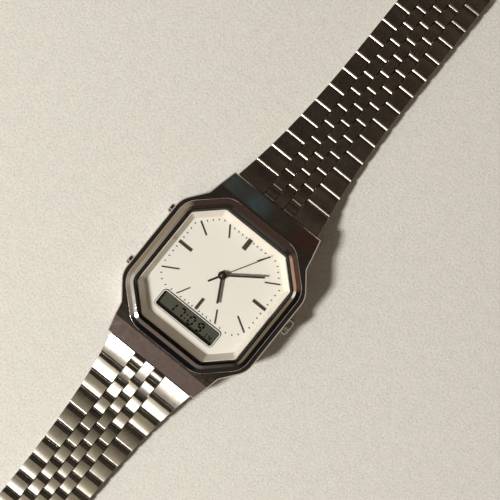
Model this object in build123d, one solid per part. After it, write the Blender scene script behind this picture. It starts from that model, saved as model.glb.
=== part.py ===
from build123d import *
import functools
import math
import os

# A wristwatch with hands and a small liquid-crystal window, on an open steel bracelet of five-link rows.
# Lengths are millimetres and angles degrees. X points to three o'clock, Y to twelve o'clock and Z up.
# The origin is on the underside of the case back, below the middle of the case.
# The bracelet lies open just above the plane Z = 0, one half along +Y and the other along -Y.

# Case, seen from above
case_width = 31.0
case_length = 39.6
shoulder_inset = 3.5
shoulder_run = 6.2
flank_run = 4.55
hood_taper = 1.3
hood_slope_run = 3.7
side_ledge = 1.05
hood_step = 0.55
flank_wall = 3.0
end_wall = 2.7
flank_rounding = 4.5
shoulder_rounding = 1.2
case_edge = 0.22
steepest_top = 60.0

# Octagonal outlines share the slant of their cut corners
corner_slant = 46.8
bezel_corner_cut = 4.52
bezel_rounding = 4.5
crystal_rounding = 2.2
inner_rounding = 0.9

# Bezel, crystal and the sloping ring below it: widths of their bands
bezel_band_x = 1.8
bezel_band_y = 2.15
bezel_band_corner = 1.85
seat_band_x = 0.68
seat_band_y = 0.65
seat_band_corner = 0.62
ring_wall = 0.15
slope_band_x = 0.82
slope_band_y = 1.3
slope_band_corner = 1.01

# Heights from the case back upward
case_lift = 0.25
back_thickness = 0.9
clamp_gap = 0.1
clamp_thickness = 0.2
battery_height = 2.1
board_rise = 0.7
board_thickness = 0.5
plate_thickness = 1.7
gear_space = 0.8
dial_thickness = 0.4
top_plate = 0.8
gasket_height = 0.6
crystal_side_height = 1.05
crystal_bevel_height = 0.3
crystal_bevel_width = 0.4
bezel_band_height = 0.5
bezel_slope_height = 0.78
bezel_lip_height = 0.22
bezel_edge = 0.3
crease_rounding = 0.6
hood_drop = 1.2
roof_thickness = 0.7

# Fits
fit_gap = 0.05
running_gap = 0.03
press_gap = 0.01
overrun = 1.0
tiny = 0.001

# Case back and its gasket
back_rebate = 1.0
lip_height = 0.5
lip_thickness = 0.5
back_gasket_inset = 0.3
back_gasket_width = 0.45
back_gasket_height = 0.4

# Hands' axis, dial and window
axis_offset = 2.5
dial_margin = 0.85
dial_hole = 0.75
window_length = 13.35
window_width = 3.0
window_rounding = 0.35
frame_border = 0.4
frame_stand = 0.14
window_rise = 3.3
cell_margin = 0.7
cell_thickness = 1.0
marker_height = 0.12
bold_marker_width = 0.9
marker_width = 0.6
thin_marker_width = 0.25

# Hands
hour_shorter = 2.8
hour_width = 0.42
minute_margin = 0.65
minute_width = 0.36
second_overreach = 0.85
second_width = 0.16
second_tail = 2.9
second_tail_width = 0.4
hour_hub_radius = 0.84
minute_hub_radius = 0.66
second_hub_radius = 0.5
hand_thickness = 0.14
hand_gap = 0.16
hour_hand_rise = 0.4
hour_angle = 151.0
minute_angle = 54.0
second_angle = 30.0

# Motion work
arbor_radius = 0.15
cannon_bore = 0.2
cannon_radius = 0.42
hour_pipe_radius = 0.62
module_fast = 0.1
module_slow = 0.096
cannon_teeth = 12
minute_wheel_teeth = 36
minute_pinion_teeth = 10
hour_wheel_teeth = 40
wheel_thickness = 0.22
wheel_gap = 0.06
arbor_pivot = 0.4
post_radius = 0.25
pivot_depth = 0.7

# Battery, clamp, board and motor
battery_radius = 4.75
battery_step = 0.5
battery_step_height = 0.3
battery_side_room = 2.55
battery_end_room = 2.65
clamp_width = 3.2
clamp_overhang = 1.4
clamp_post_radius = 0.8
screw_head_radius = 0.55
screw_shank_radius = 0.3
screw_head_height = 0.1
screw_bite = 0.7
movement_gap = 0.1
dial_rim = 0.9
board_margin = 0.8
board_gap = 0.2
chip_side = 3.2
chip_height = 0.4
chip_gap = 0.35
chip_inset = 6.0
can_radius = 0.35
can_length = 4.5
can_x = -4.5
can_inset = 6.9
motor_side_room = 4.0
motor_inset = 5.0
motor_length = 7.0
motor_width = 2.4
coil_radius = 0.5
core_radius = 0.25
core_foot = 0.5
stator_thickness = 0.3
rotor_radius = 0.5
rotor_inset = 1.0
rotor_gap = 0.15
motor_clearance = 0.2

# Crown and stem
stem_rise = 0.9
crown_radius = 1.8
crown_length = 1.2
crown_gap = 0.12
crown_flutes = 24
flute_depth = 0.16
crown_edge = 0.2
stem_radius = 0.45
stem_neck_radius = 0.25
stem_tail_run = 3.3
seal_bore_radius = 0.9
seal_bore_depth = 1.9
seal_width = 0.5
crown_pull = 0.9
yoke_inset = 3.0
yoke_thickness = 0.44
yoke_half_width = 1.3
yoke_wall = 0.35

# Pushers
pusher_inset = 2.55
pusher_radius = 1.05
pusher_stand = 0.95
pusher_head_length = 1.5
pusher_shaft_radius = 0.42
pusher_bore_depth = 2.1
pusher_edge = 0.15
pusher_travel = 0.6
clip_radius = 0.85
clip_thickness = 0.2
clip_room = 0.15
spring_radius = 0.76
spring_wire = 0.09
spring_turns = 4

# Bracelet links
link_pitch = 4.2
link_gap = 0.16
link_above = 0.85
link_below = 0.9
link_crown = 0.05
link_bevel_run = 0.7
link_bevel_drop = 0.28
link_bottom_rounding = 0.45
link_edge = 0.07
centre_half_width = 1.07
inner_start = 1.22
inner_end = 3.58
outer_start = 3.72
bracelet_half_width = 7.3
flare_rows = 8
pin_radius = 0.4
pin_inset = 0.05
upper_rows = 14
lower_rows = 11
table_gap = 0.05
drop_shares = (1 / 2, 1 / 3, 1 / 6)
first_row_gap = 0.15
first_row_lip = 0.35

# End links and spring bars
roof_gap = 0.15
bar_inset = 1.4
bar_reach = 3.0
spring_bar_radius = 0.55
spring_bar_tip_radius = 0.3
spring_bar_tip = 0.55
end_link_side_gap = 0.15
lug_wall = 0.75
recess_gap = 0.35
lug_rise = 1.3
bar_tuck = 0.3
cross_bar_back = 0.65
cross_bar_end = 0.05
cross_bar_edge = 0.18

# Clasp
ladder_length = 20.0
ladder_half_width = 5.2
ladder_thickness = 0.8
slot_length = 1.6
slot_half_width = 3.2
slot_pitch = 3.0
slot_margin = 2.2
slot_rounding = 0.3
plate_rounding = 0.8
knuckle_gap = 0.35
cover_length = 26.0
cover_wall = 0.6
cover_height = 3.1
cover_top = 0.6
cover_edge = 0.25
cover_side_gap = 0.15
hook_thickness = 0.6
hook_half_width = 5.0
hook_start = 4.4
hook_knuckle_radius = 0.85
hook_lip = 1.0
hook_pin_radius = 0.5
hook_pin_inset = 1.6
hook_side_gap = 0.25
catch_half_width = 2.6
spacer_radius = 0.7

# Worked-out half sizes of the outlines
case_half = case_width / 2
case_end = case_length / 2
crease = case_end - hood_slope_run
bezel_x = case_half - side_ledge
bezel_y = crease - hood_step
crystal_x = bezel_x - bezel_band_x
crystal_y = bezel_y - bezel_band_y
slant_x = math.cos(math.radians(corner_slant))
slant_y = math.sin(math.radians(corner_slant))
bezel_corner_reach = slant_x * bezel_x + slant_y * bezel_y - bezel_corner_cut
crystal_reach = bezel_corner_reach - bezel_band_corner
opening_x = crystal_x - seat_band_x
opening_y = crystal_y - seat_band_y
opening_reach = crystal_reach - seat_band_corner
dial_x = opening_x - slope_band_x
dial_y = opening_y - slope_band_y
dial_reach = opening_reach - slope_band_corner
cavity_x = case_half - flank_wall
cavity_y = crease - end_wall
cavity_reach = crystal_reach - (crystal_x - cavity_x) - fit_gap

# Worked-out places of what the case holds
battery_x = battery_side_room + clamp_post_radius + clamp_overhang + battery_radius - cavity_x
battery_y = battery_end_room + battery_radius - cavity_y
chip_x = cavity_x - chip_inset
chip_y = battery_y + battery_radius + chip_gap + chip_side / 2
can_y = cavity_y - can_inset
motor_x = motor_side_room + motor_length / 2 - cavity_x
motor_y = cavity_y - motor_inset
yoke_place = cavity_x - yoke_inset
stem_tail = yoke_place - stem_tail_run

# Worked-out heights
clamp_z = back_thickness + clamp_gap
battery_z = clamp_z + clamp_thickness
battery_top = battery_z + battery_height
board_z = battery_z + board_rise
plate_z = board_z + board_thickness
plate_top = plate_z + plate_thickness
dial_z = plate_top + gear_space
dial_top = dial_z + dial_thickness
case_top = dial_top + top_plate
crystal_z = case_top + gasket_height
bezel_slope_z = case_top + bezel_band_height
bezel_lip_z = bezel_slope_z + bezel_slope_height
bezel_top = bezel_lip_z + bezel_lip_height
stem_z = plate_z + stem_rise
hood_end_z = case_top - hood_drop
bar_z = hood_end_z - roof_thickness - roof_gap - link_above - link_crown
bar_y = case_end - bar_inset
first_hinge_y = bar_y + bar_reach
hour_hand_z = dial_top + hour_hand_rise
minute_hand_z = hour_hand_z + hand_thickness + hand_gap
second_hand_z = minute_hand_z + hand_thickness + hand_gap
window_y = window_rise - dial_y
room_above = dial_y - axis_offset
room_below = axis_offset - window_y - window_width / 2 - frame_border
hand_room = min(dial_x, room_above)
second_length = hand_room + second_overreach
minute_length = hand_room - minute_margin
hour_length = minute_length - hour_shorter
cell_z = dial_z - cell_thickness
gasket_top = back_thickness + back_gasket_height
shoulder_y = case_end - shoulder_run
shoulder_half_width = case_half - shoulder_inset
flank_half_length = shoulder_y - flank_run
hood_end_half_width = shoulder_half_width - hood_taper
recess_half_width = hood_end_half_width - lug_wall
recess_back = bar_y - link_above - link_crown - recess_gap
lug_slope = (lug_rise - case_lift) / (case_end - recess_back)
end_link_half_width = recess_half_width - end_link_side_gap
cross_bar_reach = bar_inset + cross_bar_end
pin_spacing = link_pitch / 2
link_half = (link_pitch - link_gap) / 2
table_drop = bar_z - link_below - table_gap
first_tilt = math.asin(table_drop * drop_shares[0] / link_pitch)
first_reach = bar_reach - bar_inset - first_row_gap + link_above * math.sin(first_tilt)
lip_end = first_reach / math.cos(first_tilt)
lip = lip_end + pin_spacing / 2 - link_half
centre_distance = module_fast * (cannon_teeth + minute_wheel_teeth) / 2
fast_z = plate_top + wheel_gap
slow_z = fast_z + wheel_thickness + wheel_gap
coil_z = plate_z + stator_thickness + coil_radius
pusher_spacing = flank_half_length - pusher_inset
clamp_posts = [battery_x + side * (battery_radius + clamp_overhang) for side in (-1, 1)]
yoke_top = stem_z + stem_neck_radius + yoke_wall
pusher_tip = fit_gap - cavity_x + clip_thickness + clip_room
knuckle_reach = pin_spacing / 2 + knuckle_gap
cover_half_width = bracelet_half_width + cover_side_gap + cover_wall
hook_pin_y = cover_length - hook_pin_inset

# Shares of the bezel's band: the foot of its second slope, and its lip
bezel_shares = (0.583, 0.917)

# Gear teeth, as shares of the module and of half a tooth's pitch
root_share = 1.2
tip_share = 0.9
root_spread_share = 0.62
tip_spread_share = 0.2

# Hour markers of one side, from twelve to six: width, then both ends from the hands' axis
# as shares of the dial's half width and of the room above or below the axis
marker_shares = (
    (bold_marker_width, (0, 0.724), (0, 0.99)),
    (thin_marker_width, (0.316, 0.719), (0.449, 0.962)),
    (thin_marker_width, (0.651, 0.458), (0.885, 0.629)),
    (marker_width, (0.683, 0), (0.961, 0)),
    (thin_marker_width, (0.651, -0.487), (0.920, -0.686)),
    (thin_marker_width, (0.304, -0.663), (0.425, -0.942)),
    (marker_width, (0, -0.663), (0, -0.951)),
)


def octagon(half_x, half_y, reach, rounding, z):
    """A face with four cut corners, whose slanted sides lie at one distance from the middle."""
    side = (reach - slant_x * half_x) / slant_y
    end = (reach - slant_y * half_y) / slant_x
    quarter = [(half_x, side), (end, half_y)]
    points = quarter + [(-x, y) for x, y in reversed(quarter)]
    points += [(-x, -y) for x, y in quarter] + [(x, -y) for x, y in reversed(quarter)]
    face = make_face(Polyline(*points, close=True))
    return Pos(0, 0, z) * fillet(face.vertices(), rounding)


def octagon_block(half_x, half_y, reach, rounding, low, high):
    return extrude(octagon(half_x, half_y, reach, rounding, low), high - low)


def cavity_block(outward, low, high):
    """The outline of the room for the movement, grown or shrunk all round, as a solid."""
    rounding = inner_rounding + max(outward, 0)
    return octagon_block(cavity_x + outward, cavity_y + outward, cavity_reach + outward, rounding, low, high)


def opening_block(outward, low, high):
    """The outline of the opening under the crystal, grown all round, as a solid."""
    half_x = opening_x + outward
    half_y = opening_y + outward
    return octagon_block(half_x, half_y, opening_reach + outward, inner_rounding, low, high)


def block(low, high):
    """A box between two corners."""
    size = [b - a for a, b in zip(low, high)]
    return Pos(*low) * Box(*size, align=(Align.MIN, Align.MIN, Align.MIN))


def rod(radius, low, high, y=0, z=0):
    """A round bar along X between two places."""
    return extrude(Plane.YZ.offset(low) * Pos(y, z) * Circle(radius), high - low)


def disc(radius, low, high, x=0, y=0):
    """A round bar along Z between two heights."""
    return extrude(Pos(x, y, low) * Circle(radius), high - low)


def side_prism(points, low, high):
    """An outline of (y, z) points, drawn out along X between two places."""
    return extrude(Plane.YZ.offset(low) * make_face(Polyline(*points, close=True)), high - low)


def save(name, *solids):
    """Write one node, whose pieces stay separate solids."""
    pieces = [piece for shape in solids for piece in shape.solids()]
    export_step(pieces[0] if len(pieces) == 1 else Compound(children=pieces), f"parts/{name}.step")


def case_outline():
    """Barrel-shaped flanks, slanted shoulders and a tapering hood at each end."""
    quarter = [
        (case_half, flank_half_length),
        (shoulder_half_width, shoulder_y),
        (hood_end_half_width, case_end),
    ]
    points = quarter + [(-x, y) for x, y in reversed(quarter)]
    points += [(-x, -y) for x, y in quarter] + [(x, -y) for x, y in reversed(quarter)]
    face = make_face(Polyline(*points, close=True))
    flanks = face.vertices().filter_by(lambda v: abs(v.X) > (case_half + shoulder_half_width) / 2)
    face = fillet(flanks, flank_rounding)
    shoulders = face.vertices().filter_by(lambda v: abs(abs(v.Y) - shoulder_y) < tiny)
    return fillet(shoulders, shoulder_rounding)


def case_middle():
    body = extrude(Pos(0, 0, case_lift) * case_outline(), case_top - case_lift)
    slope = hood_drop / hood_slope_run
    beyond = case_end + overrun
    hood = [(crease, case_top), (beyond, case_top + overrun), (beyond, hood_end_z - slope * overrun)]
    lug = [
        (recess_back, case_lift),
        (beyond, lug_rise + lug_slope * overrun),
        (beyond, -overrun),
        (recess_back, -overrun),
    ]
    cuts = side_prism(hood, -case_width, case_width) + side_prism(lug, -case_width, case_width)
    body -= cuts
    body -= Rot(0, 0, 180) * cuts
    tops = body.faces().filter_by(lambda f: f.normal_at().Z > math.cos(math.radians(steepest_top)))
    rims = [e for f in tops for e in f.edges() if abs(abs(e.center().Y) - crease) > tiny]
    body = chamfer(rims, case_edge)

    roof = hood_end_z - roof_thickness
    recess = [
        (recess_back, -overrun),
        (beyond, -overrun),
        (beyond, roof - slope * overrun),
        (recess_back, roof + slope * (case_end - recess_back)),
    ]
    recess = side_prism(recess, -recess_half_width, recess_half_width)
    hole = recess_half_width + spring_bar_tip + fit_gap
    recess += rod(spring_bar_tip_radius + running_gap, -hole, hole, bar_y, bar_z)
    body -= recess
    body -= Rot(0, 0, 180) * recess

    body -= cavity_block(0, -overrun, dial_top)
    body -= cavity_block(back_rebate, -overrun, back_thickness)
    groove = cavity_block(back_gasket_inset + back_gasket_width + fit_gap, back_thickness, gasket_top)
    groove -= cavity_block(back_gasket_inset - fit_gap, back_thickness, gasket_top)
    body -= groove
    body -= opening_block(ring_wall + fit_gap, dial_top - overrun, case_top + overrun)

    body -= rod(stem_radius + fit_gap, cavity_x - overrun, case_half + overrun, axis_offset, stem_z)
    body -= rod(seal_bore_radius, case_half - seal_bore_depth, case_half + overrun, axis_offset, stem_z)
    for y in (-pusher_spacing, pusher_spacing):
        body -= rod(pusher_shaft_radius + fit_gap, -case_half - overrun, overrun - cavity_x, y, stem_z)
        body -= rod(pusher_radius + fit_gap, -case_half - overrun, pusher_bore_depth - case_half, y, stem_z)
    return body


def bezel_face(share, z):
    """The bezel's outline, drawn in by a share of its band's width."""
    half_x = bezel_x - share * bezel_band_x
    half_y = bezel_y - share * bezel_band_y
    reach = bezel_corner_reach - share * bezel_band_corner
    rounding = bezel_rounding - share * (bezel_rounding - crystal_rounding)
    return octagon(half_x, half_y, reach, rounding, z)


def bezel_ring():
    """An upright rim, a steep and a flatter slope, and an upright bore for the crystal."""
    middle, top = bezel_shares
    ring = extrude(bezel_face(0, case_top), bezel_band_height)
    ring += loft([bezel_face(0, bezel_slope_z), bezel_face(middle, bezel_lip_z)], ruled=True)
    ring += loft([bezel_face(middle, bezel_lip_z), bezel_face(top, bezel_top)], ruled=True)
    for height, rounding in ((bezel_lip_z, crease_rounding), (bezel_slope_z, bezel_edge)):
        ring = fillet(ring.edges().filter_by(lambda e: abs(e.center().Z - height) < tiny), rounding)
    return ring - extrude(bezel_face(1, case_top - overrun), bezel_top - case_top + 2 * overrun)


def crystal_face(inset, z):
    return octagon(crystal_x - inset, crystal_y - inset, crystal_reach - inset, crystal_rounding, z)


def crystal():
    side_top = crystal_z + crystal_side_height
    glass = extrude(crystal_face(fit_gap, crystal_z), crystal_side_height)
    bevel = crystal_face(fit_gap + crystal_bevel_width, side_top + crystal_bevel_height)
    return glass + loft([crystal_face(fit_gap, side_top), bevel], ruled=True)


def crystal_gasket():
    ring = extrude(crystal_face(fit_gap, case_top), gasket_height)
    return ring - opening_block(ring_wall + 2 * fit_gap, case_top - overrun, crystal_z + overrun)


def reflector_ring():
    """The polished ring that slopes from the crystal down to the dial."""
    ring = opening_block(ring_wall, dial_top, crystal_z)
    low = octagon(dial_x, dial_y, dial_reach, inner_rounding, dial_top)
    high = octagon(opening_x, opening_y, opening_reach, inner_rounding, crystal_z)
    return ring - loft([low, high], ruled=True)


def window_block(grown, rounding, low, high):
    outline = RectangleRounded(window_length + 2 * grown, window_width + 2 * grown, rounding)
    return extrude(Pos(0, window_y, low) * outline, high - low)


def dial_plate():
    half_x = dial_x + dial_margin
    half_y = dial_y + dial_margin
    low = dial_z - overrun
    high = dial_top + overrun
    plate = octagon_block(half_x, half_y, dial_reach + dial_margin, inner_rounding, dial_z, dial_top)
    plate -= window_block(frame_border + fit_gap, window_rounding + frame_border, low, high)
    return plate - disc(dial_hole, low, high, 0, axis_offset)


def display_frame():
    high = dial_top + frame_stand
    frame = window_block(frame_border, window_rounding + frame_border, dial_z, high)
    return frame - window_block(0, window_rounding, dial_z - overrun, high + overrun)


def lcd_cell():
    half_x = window_length / 2 + cell_margin
    half_y = window_width / 2 + cell_margin
    return block((-half_x, window_y - half_y, cell_z), (half_x, window_y + half_y, dial_z))


def marker(width, near, far):
    """A flat bar on the dial between two places, given as shares of the room about the hands' axis."""
    room = room_above if far[1] > 0 else room_below
    ends = [Vector(u * dial_x, v * room + axis_offset, dial_top) for u, v in (near, far)]
    along = ends[1] - ends[0]
    angle = math.degrees(math.atan2(along.Y, along.X))
    bar = Box(along.length, width, marker_height, align=(Align.MIN, Align.CENTER, Align.MIN))
    return Pos(ends[0]) * Rot(0, 0, angle) * bar


def hour_markers():
    bars = []
    for width, near, far in marker_shares:
        bars.append(marker(width, near, far))
        if near[0]:
            bars.append(marker(width, (-near[0], near[1]), (-far[0], far[1])))
    return bars


def gear(teeth, module, bore, low, high):
    """A spur wheel about its own axis. Its teeth are thinner than their gaps."""
    pitch = math.pi / teeth
    radius = teeth * module / 2
    shape = (
        (radius - root_share * module, -root_spread_share),
        (radius + tip_share * module, -tip_spread_share),
        (radius + tip_share * module, tip_spread_share),
        (radius - root_share * module, root_spread_share),
    )
    points = [
        (r * math.cos(pitch * (2 * tooth + spread)), r * math.sin(pitch * (2 * tooth + spread)))
        for tooth in range(teeth)
        for r, spread in shape
    ]
    face = make_face(Polyline(*points, close=True)) - Circle(bore)
    return extrude(Pos(0, 0, low) * face, high - low)


def hour_wheel():
    wheel = gear(hour_wheel_teeth, module_slow, cannon_radius + running_gap, slow_z, slow_z + wheel_thickness)
    pipe = disc(hour_pipe_radius, slow_z, hour_hand_z + hand_thickness)
    return Pos(0, axis_offset, 0) * (wheel + (pipe - disc(cannon_radius + running_gap, 0, case_top)))


def cannon_pinion():
    teeth = gear(cannon_teeth, module_fast, cannon_bore, fast_z, fast_z + wheel_thickness)
    pipe = disc(cannon_radius, plate_top - pivot_depth, minute_hand_z + hand_thickness)
    return Pos(0, axis_offset, 0) * (teeth + (pipe - disc(cannon_bore, 0, crystal_z)))


def minute_wheel():
    """The wheel that the cannon pinion turns, with the small pinion that turns the hour wheel."""
    bore = post_radius + running_gap
    half_tooth = 180 / minute_wheel_teeth
    wheel = gear(minute_wheel_teeth, module_fast, bore, fast_z, slow_z)
    pinion = gear(minute_pinion_teeth, module_slow, bore, slow_z, slow_z + wheel_thickness)
    return Pos(centre_distance, axis_offset, 0) * (Rot(0, 0, half_tooth) * wheel + pinion)


def blade(length, width, hub):
    """A flat hand's outline, pointing at twelve."""
    return Pos(0, length / 2) * Rectangle(width, length) + Circle(hub)


def set_hand(outline, bore, angle, z):
    """A hand on its pipe or arbor, turned clockwise from twelve by an angle."""
    solid = extrude(outline - Circle(bore), hand_thickness)
    return Pos(0, axis_offset, z) * Rot(0, 0, -angle) * solid


def hour_hand():
    outline = blade(hour_length, hour_width, hour_hub_radius)
    return set_hand(outline, hour_pipe_radius + press_gap, hour_angle, hour_hand_z)


def minute_hand():
    outline = blade(minute_length, minute_width, minute_hub_radius)
    return set_hand(outline, cannon_radius + press_gap, minute_angle, minute_hand_z)


def second_hand():
    outline = blade(second_length, second_width, second_hub_radius)
    outline += Pos(0, -second_tail / 2) * Rectangle(second_tail_width, second_tail)
    return set_hand(outline, arbor_radius + press_gap, second_angle, second_hand_z)


def second_arbor():
    low = plate_top - pivot_depth - arbor_pivot
    return disc(arbor_radius, low, second_hand_z + hand_thickness, 0, axis_offset)


def movement_plate():
    """The main plate: a rim that carries the dial, and pockets for what the movement holds."""
    plate = cavity_block(-movement_gap, plate_z, dial_z)
    plate -= cavity_block(-movement_gap - dial_rim, plate_top, dial_z + overrun)
    plate += disc(post_radius, plate_top, slow_z + wheel_thickness + wheel_gap, centre_distance, axis_offset)
    plate -= disc(cannon_radius + running_gap, plate_top - pivot_depth, plate_top + overrun, 0, axis_offset)
    plate -= disc(arbor_radius + running_gap, plate_z - overrun, plate_top, 0, axis_offset)
    plate -= disc(battery_radius + fit_gap, plate_z - overrun, battery_top, battery_x, battery_y)
    half_x = window_length / 2 + cell_margin + fit_gap
    half_y = window_width / 2 + cell_margin + fit_gap
    plate -= block((-half_x, window_y - half_y, cell_z), (half_x, window_y + half_y, dial_z + overrun))
    motor_x_half = motor_length / 2 + motor_clearance
    motor_y_half = motor_width / 2 + motor_clearance
    plate -= block(
        (motor_x - motor_x_half, motor_y - motor_y_half, plate_z - overrun),
        (motor_x + motor_x_half, motor_y + motor_y_half, coil_z + coil_radius + fit_gap),
    )
    plate -= rod(stem_radius + fit_gap, stem_tail - fit_gap, case_half, axis_offset, stem_z)
    yoke_half = yoke_thickness / 2 + fit_gap
    yoke_side = yoke_half_width + fit_gap
    plate -= block(
        (yoke_place - yoke_half, axis_offset - yoke_side, plate_z - overrun),
        (yoke_place + yoke_half + crown_pull, axis_offset + yoke_side, yoke_top + fit_gap),
    )
    room = clip_radius + clip_room
    pocket_end = pusher_tip + pusher_travel + clip_room
    for y in (-pusher_spacing, pusher_spacing):
        plate -= block((-cavity_x, y - room, plate_z - overrun), (pocket_end, y + room, stem_z + room))
    for x in clamp_posts:
        plate -= disc(screw_shank_radius + press_gap, plate_z - overrun, plate_z + screw_bite, x, battery_y)
    return plate


def circuit_board():
    """The board with its chip and the can of its timing crystal, all below the main plate."""
    board = cavity_block(-board_margin, board_z, plate_z)
    board -= disc(battery_radius + board_gap, board_z - overrun, plate_z + overrun, battery_x, battery_y)
    for x in clamp_posts:
        board -= disc(screw_shank_radius + press_gap, board_z - overrun, plate_z + overrun, x, battery_y)
    half = chip_side / 2
    chip_low = board_z - chip_height
    chip = block((chip_x - half, chip_y - half, chip_low), (chip_x + half, chip_y + half, board_z))
    can = rod(can_radius, can_x - can_length / 2, can_x + can_length / 2, can_y, board_z - can_radius)
    return board, chip, can


def stepper_motor():
    """A stator with its coil on a core above it, and the round magnet that it turns."""
    half_x = motor_length / 2
    half_y = motor_width / 2
    rotor_x = motor_x + half_x - rotor_inset
    low = plate_z
    high = plate_z + stator_thickness
    stator = block((motor_x - half_x, motor_y - half_y, low), (motor_x + half_x, motor_y + half_y, high))
    stator -= disc(rotor_radius + fit_gap, low - overrun, high + overrun, rotor_x, motor_y)
    core_low = motor_x - half_x
    core_high = rotor_x - rotor_radius - rotor_gap
    core = rod(core_radius, core_low, core_high, motor_y, coil_z)
    for x in (core_low, core_high - core_foot):
        core += block((x, motor_y - core_radius, high), (x + core_foot, motor_y + core_radius, coil_z))
    coil_low = core_low + core_foot + fit_gap
    coil_high = core_high - core_foot - fit_gap
    coil = rod(coil_radius, coil_low, coil_high, motor_y, coil_z)
    coil -= rod(core_radius + press_gap, coil_low - overrun, coil_high + overrun, motor_y, coil_z)
    rotor = disc(rotor_radius, low, coil_z, rotor_x, motor_y)
    return stator, core, coil, rotor


def battery_cell():
    """A button cell: a wide can and a slightly narrower upper step."""
    step = battery_z + battery_step_height
    cell = disc(battery_radius - battery_step, battery_z, step, battery_x, battery_y)
    return cell + disc(battery_radius, step, battery_top, battery_x, battery_y)


def battery_clamp():
    """A strap under the cell on two posts, with a screw through each."""
    span = clamp_posts[1] - clamp_posts[0]
    middle = (clamp_posts[0] + clamp_posts[1]) / 2
    strap = extrude(Pos(middle, battery_y, clamp_z) * SlotCenterToCenter(span, clamp_width), clamp_thickness)
    screws = []
    head_top = clamp_z + screw_head_height
    for x in clamp_posts:
        strap += disc(clamp_post_radius, clamp_z, board_z, x, battery_y)
        strap -= disc(screw_shank_radius + press_gap, clamp_z - overrun, board_z + overrun, x, battery_y)
        strap -= disc(screw_head_radius + press_gap, clamp_z - overrun, head_top, x, battery_y)
        screw = disc(screw_head_radius, clamp_z, head_top, x, battery_y)
        screws.append(screw + disc(screw_shank_radius, clamp_z, plate_z + screw_bite, x, battery_y))
    return [strap] + screws


def case_back():
    plate = cavity_block(back_rebate - fit_gap, 0, back_thickness)
    plate = chamfer(plate.faces().sort_by(Axis.Z)[0].edges(), case_edge)
    lip = cavity_block(-fit_gap, back_thickness, back_thickness + lip_height)
    lip -= cavity_block(-fit_gap - lip_thickness, back_thickness, back_thickness + lip_height)
    return plate + lip


def back_gasket():
    ring = cavity_block(back_gasket_inset + back_gasket_width, back_thickness, gasket_top)
    return ring - cavity_block(back_gasket_inset, back_thickness, gasket_top)


def spring_bar():
    half = recess_half_width - press_gap
    tip = recess_half_width + spring_bar_tip
    bar = rod(spring_bar_radius, -half, half, bar_y, bar_z)
    return bar + rod(spring_bar_tip_radius, -tip, tip, bar_y, bar_z)


def crown():
    """A fluted head on a necked stem, with the seal that sits on the stem."""
    head_low = case_half + crown_gap
    head_high = head_low + crown_length
    flutes = []
    for flute in range(crown_flutes):
        angle = 2 * math.pi * flute / crown_flutes
        y = axis_offset + crown_radius * math.cos(angle)
        z = stem_z + crown_radius * math.sin(angle)
        flutes.append(rod(flute_depth, head_low - overrun, head_high + overrun, y, z))
    head = rod(crown_radius, head_low, head_high, axis_offset, stem_z)
    head = chamfer(head.edges().filter_by(GeomType.CIRCLE), crown_edge) - flutes
    neck_half = yoke_thickness / 2 + running_gap
    stem = rod(stem_radius, stem_tail, yoke_place - neck_half, axis_offset, stem_z)
    stem += rod(stem_radius, yoke_place + neck_half, head_low, axis_offset, stem_z)
    stem += rod(stem_neck_radius, stem_tail, head_low, axis_offset, stem_z)
    seal_low = case_half - seal_bore_depth + fit_gap
    seal_high = seal_low + seal_width
    seal = rod(seal_bore_radius - running_gap, seal_low, seal_high, axis_offset, stem_z)
    seal -= rod(stem_radius + press_gap, seal_low - overrun, seal_high + overrun, axis_offset, stem_z)
    return head + stem, seal


def stem_yoke():
    """A fork that straddles the stem's neck and slides with it."""
    half = yoke_thickness / 2
    slot = stem_neck_radius + running_gap
    low = plate_z + running_gap
    near = (yoke_place - half, axis_offset - yoke_half_width, low)
    fork = block(near, (yoke_place + half, axis_offset + yoke_half_width, yoke_top))
    cut_low = yoke_place - yoke_thickness
    cut_high = yoke_place + yoke_thickness
    fork -= block((cut_low, axis_offset - slot, low - overrun), (cut_high, axis_offset + slot, stem_z))
    return fork - rod(slot, cut_low, cut_high, axis_offset, stem_z)


def pusher(y):
    """A button on a thin shaft, and the clip that holds it in the case wall."""
    head_low = -case_half - pusher_stand
    head = rod(pusher_radius, head_low, head_low + pusher_head_length, y, stem_z)
    head = chamfer(head.edges().filter_by(GeomType.CIRCLE).sort_by(Axis.X)[0], pusher_edge)
    shaft = rod(pusher_shaft_radius, head_low, pusher_tip, y, stem_z)
    clip_low = fit_gap - cavity_x
    clip = rod(clip_radius, clip_low, clip_low + clip_thickness, y, stem_z)
    clip -= rod(pusher_shaft_radius + press_gap, clip_low - overrun, clip_low + overrun, y, stem_z)
    return head + shaft, clip


def pusher_spring(y):
    """An open coil about the pusher's shaft, from the head to the floor of its bore."""
    low = pusher_head_length - case_half - pusher_stand + spring_wire + running_gap
    high = pusher_bore_depth - case_half - spring_wire - running_gap
    path = Helix((high - low) / spring_turns, high - low, spring_radius)
    wire = sweep(Plane(origin=path @ 0, z_dir=path % 0) * Circle(spring_wire), path=path, is_frenet=True)
    return Pos(low, y, stem_z) * Rot(0, 90, 0) * wire


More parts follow.
